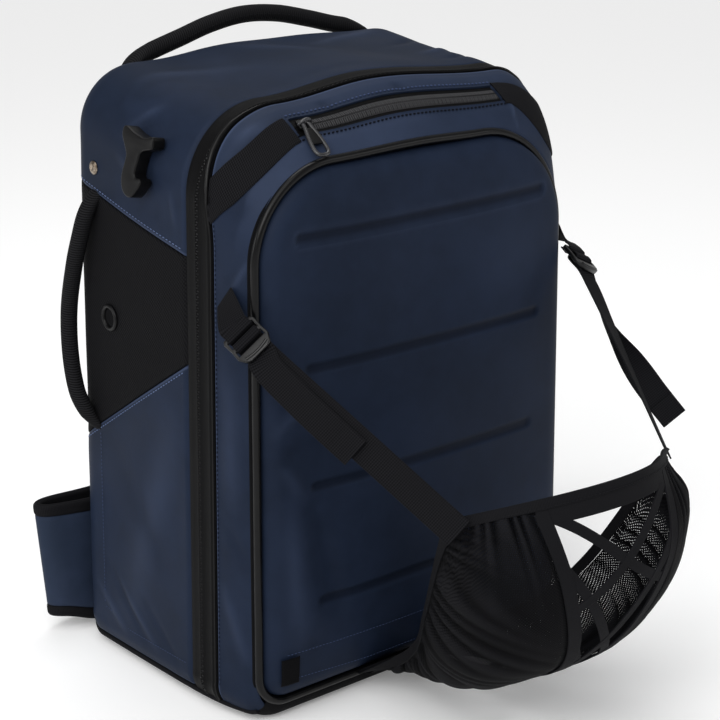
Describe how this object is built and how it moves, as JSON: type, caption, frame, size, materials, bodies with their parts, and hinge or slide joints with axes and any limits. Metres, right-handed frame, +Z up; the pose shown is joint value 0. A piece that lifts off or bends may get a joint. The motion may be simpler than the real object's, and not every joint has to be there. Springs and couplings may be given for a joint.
{
  "type": "boot bag",
  "caption": "Upright boot bag of coated cloth worn on the back, with padded front panel, zips, handles and a net pocket folded out in front on two sling straps.",
  "frame": {"origin": "middle of the flat base on the floor", "axes": "+Z up, the front with the net faces -Y, +X to the right as seen from the front"},
  "size_m": [0.4368, 0.5484, 0.5714],
  "materials": {
    "coated_cloth": "matte coated",
    "black_cloth": "woven",
    "net": "open knit",
    "gloss_trim": "glossy",
    "moulded_plastic": "satin",
    "rivet_metal": "satin"
  },
  "bodies": {
    "root": {"back_panel": "black_cloth", "base_panel": "black_cloth", "buckle_tab_left": "black_cloth", "buckle_tab_right": "black_cloth", "crown_panel": "coated_cloth", "front_panel": "coated_cloth", "front_piping": "gloss_trim", "gear_hook_left": "moulded_plastic", "gear_hook_right": "moulded_plastic", "gusset_panel": "coated_cloth", "hip_binding_high_left": "black_cloth", "hip_binding_high_right": "black_cloth", "hip_binding_low_left": "black_cloth", "hip_binding_low_right": "black_cloth", "hip_wing_left": "coated_cloth", "hip_wing_right": "coated_cloth", "ladder_lock_left": "moulded_plastic", "ladder_lock_right": "moulded_plastic", "lower_panel_left": "coated_cloth", "lower_panel_right": "coated_cloth", "main_zip": "gloss_trim", "net_edge_binding_left": "black_cloth", "net_edge_binding_right": "black_cloth", "net_lattice": "net", "net_rim_binding": "black_cloth", "net_side_left": "net", "net_side_right": "net", "pocket_pull": "moulded_plastic", "pocket_slider": "moulded_plastic", "pocket_zip": "gloss_trim", "rivet_left": "rivet_metal", "rivet_right": "rivet_metal", "shoulder_strap_left": "black_cloth", "shoulder_strap_right": "black_cloth", "side_handle_left": "black_cloth", "side_handle_right": "black_cloth", "side_panel_left": "black_cloth", "side_panel_right": "black_cloth", "sling_strap_left": "black_cloth", "sling_strap_right": "black_cloth", "top_handle": "black_cloth", "vent_left": "moulded_plastic", "vent_right": "moulded_plastic", "woven_label": "black_cloth", "yoke_strap_left": "black_cloth", "yoke_strap_right": "black_cloth"}
  },
  "joints": []
}
